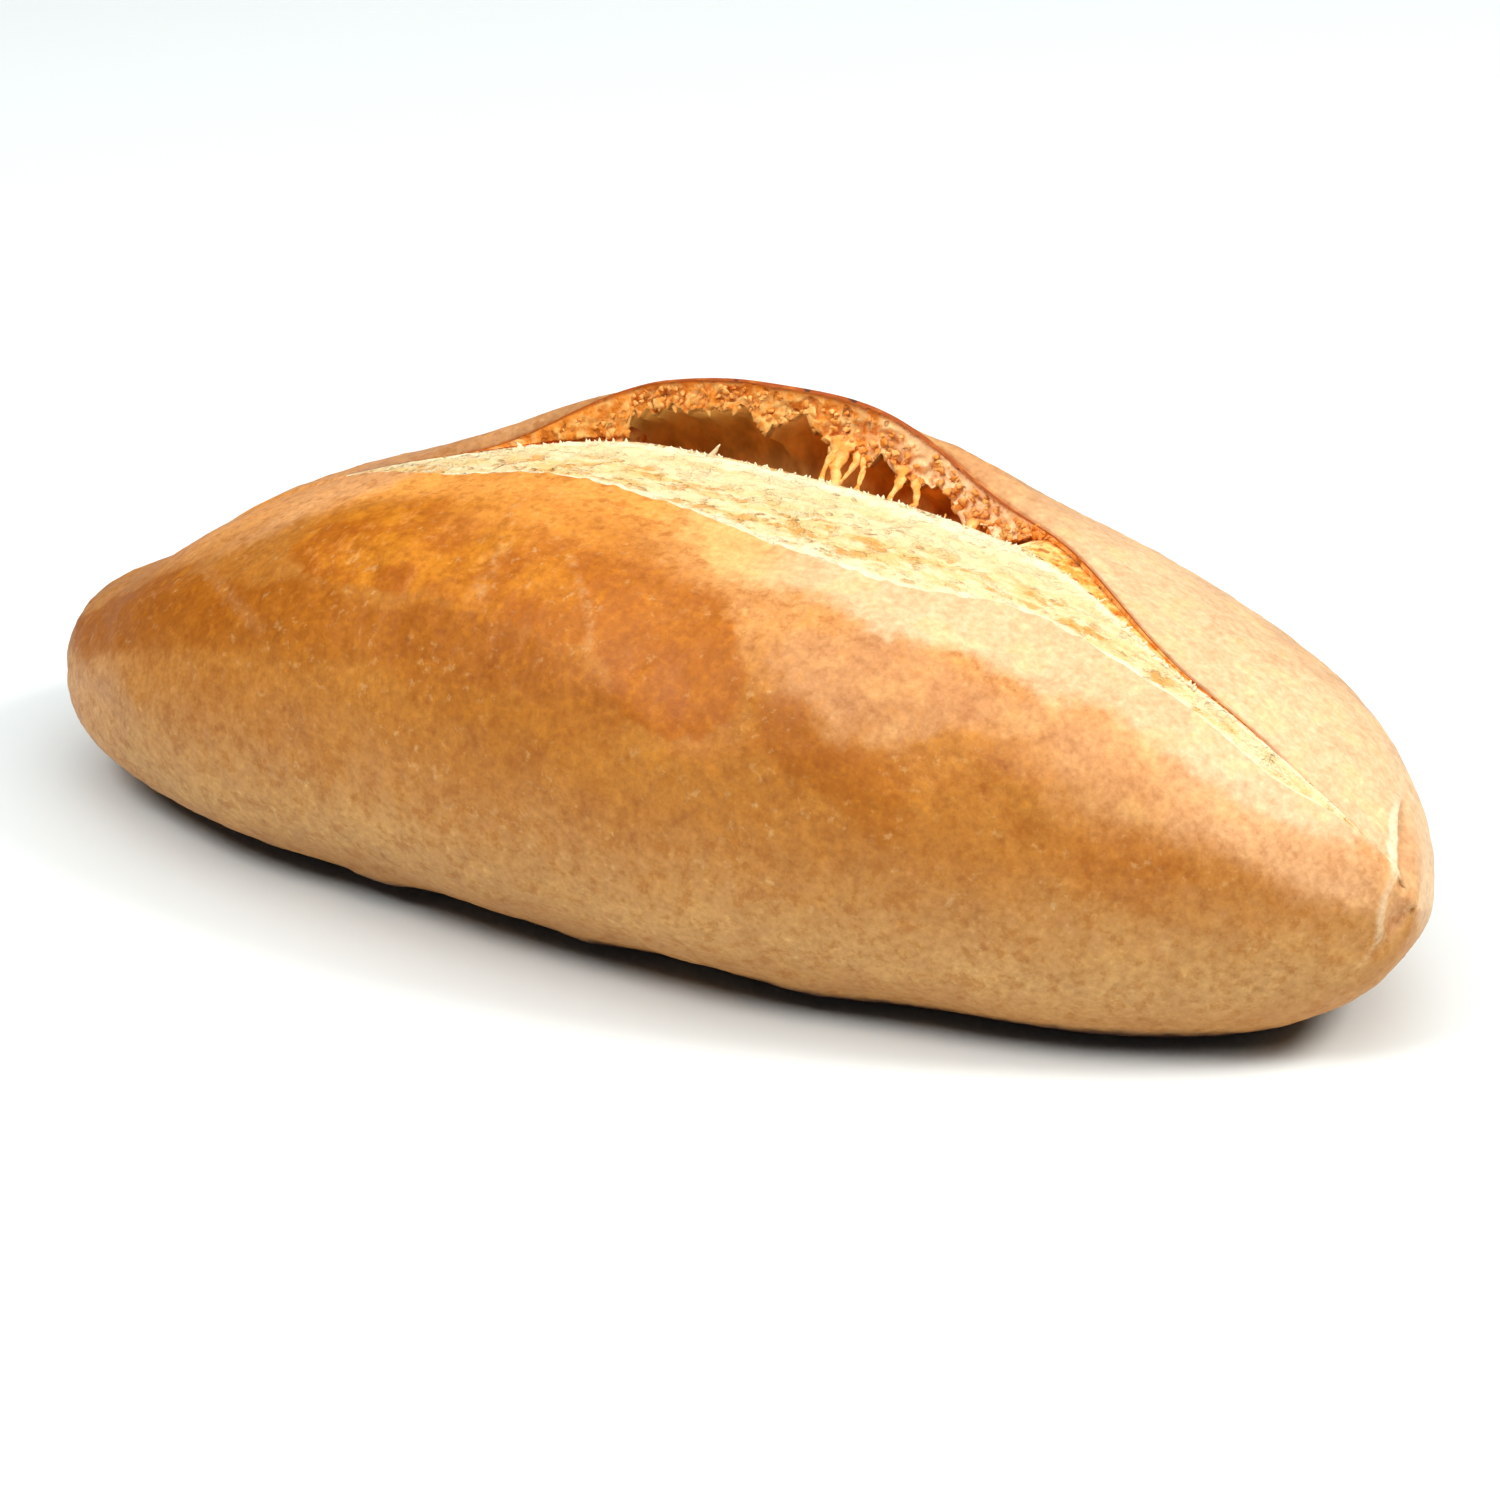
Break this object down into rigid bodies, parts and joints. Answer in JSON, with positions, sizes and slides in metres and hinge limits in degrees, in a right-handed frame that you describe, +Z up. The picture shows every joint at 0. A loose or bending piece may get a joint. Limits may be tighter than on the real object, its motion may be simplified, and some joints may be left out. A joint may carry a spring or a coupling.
{
  "type": "slashed oval bread roll",
  "caption": "Crusty oval bread roll with a flat base and one lengthwise slash, opened into a raised ear over a torn hollow.",
  "frame": {"origin": "centre of the flat base's plane under the middle of the bounding box", "axes": "+X along the roll towards its tapered end with the seam, +Z up, -Y towards the browned front"},
  "size_m": [0.1704, 0.0746, 0.0561],
  "materials": {
    "crust": "matte golden brown baked crust, paler crumb where it is slashed"
  },
  "bodies": {
    "root": {"bread_roll": "crust"}
  },
  "joints": []
}
